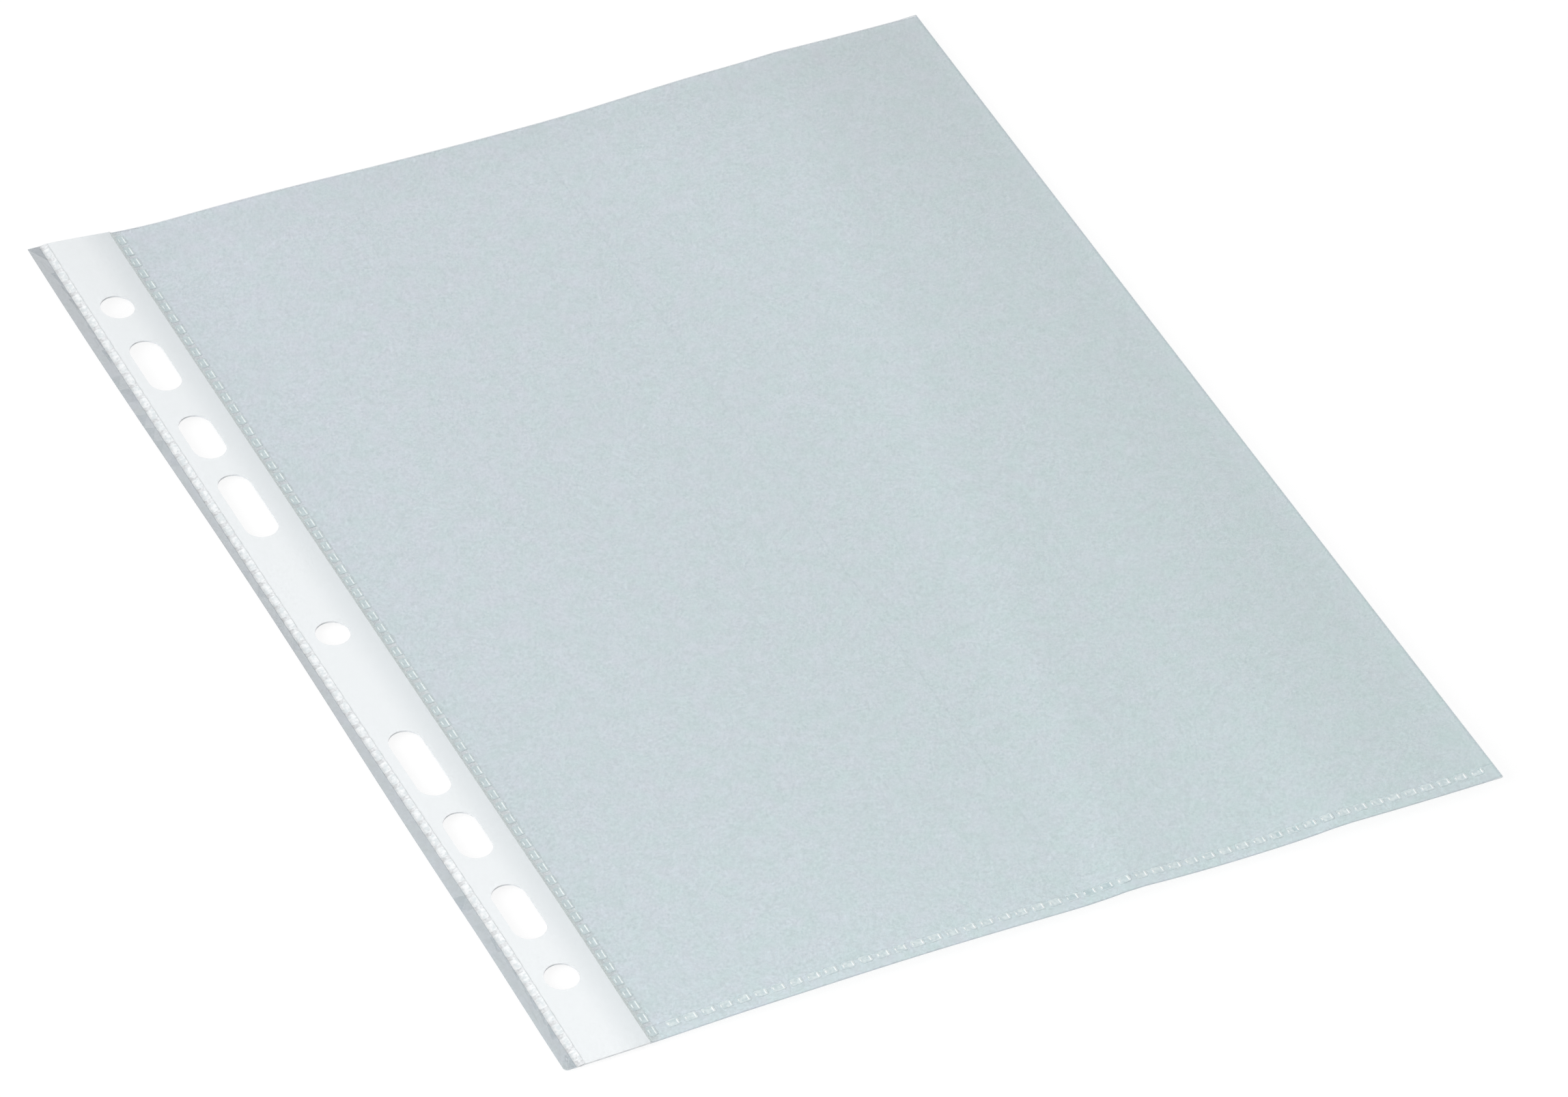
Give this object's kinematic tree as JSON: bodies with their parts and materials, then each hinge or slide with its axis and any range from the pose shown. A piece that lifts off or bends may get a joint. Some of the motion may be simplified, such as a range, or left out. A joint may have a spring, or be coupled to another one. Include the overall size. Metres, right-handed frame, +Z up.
{
  "type": "sheet protector",
  "caption": "Flat clear film pocket for A4 paper, open at the top, with a white filing strip punched with round holes and slots along one side for ring binders.",
  "frame": {"origin": "under the middle of the sheet, on the surface that it lies on", "axes": "+X from the punched spine to the folded edge, +Y from the welded bottom to the open mouth, +Z up out of the sheet"},
  "size_m": [0.243, 0.305, 0.0006],
  "materials": {
    "embossed_film": "translucent polypropylene film, orange-peel embossed",
    "filing_strip": "opaque white polypropylene, satin",
    "weld": "fused film, glossier and paler than the sheet"
  },
  "bodies": {
    "spine": {"filing_strip": "filing_strip", "spine_back_film": "embossed_film", "spine_front_film": "embossed_film", "outer_spine_weld": "weld", "spine_flex_film": "embossed_film"},
    "page": {"pocket_back_film": "embossed_film", "pocket_front_border": "embossed_film", "inner_spine_weld": "weld", "bottom_weld": "weld", "edge_fold": "embossed_film"},
    "front": {"pocket_front_film": "embossed_film"}
  },
  "joints": [
    {"name": "page_turn", "type": "hinge", "parent": "spine", "child": "page", "pos_m": [-0.09955, 0, 0.00032], "axis": [0, -1, 0], "range_deg": [0, 90], "deforming": ["spine_flex_film"]},
    {"name": "mouth_lift", "type": "hinge", "parent": "page", "child": "front", "pos_m": [0, -0.1476, 0.00064], "axis": [1, 0, 0], "range_deg": [0, 4]}
  ]
}
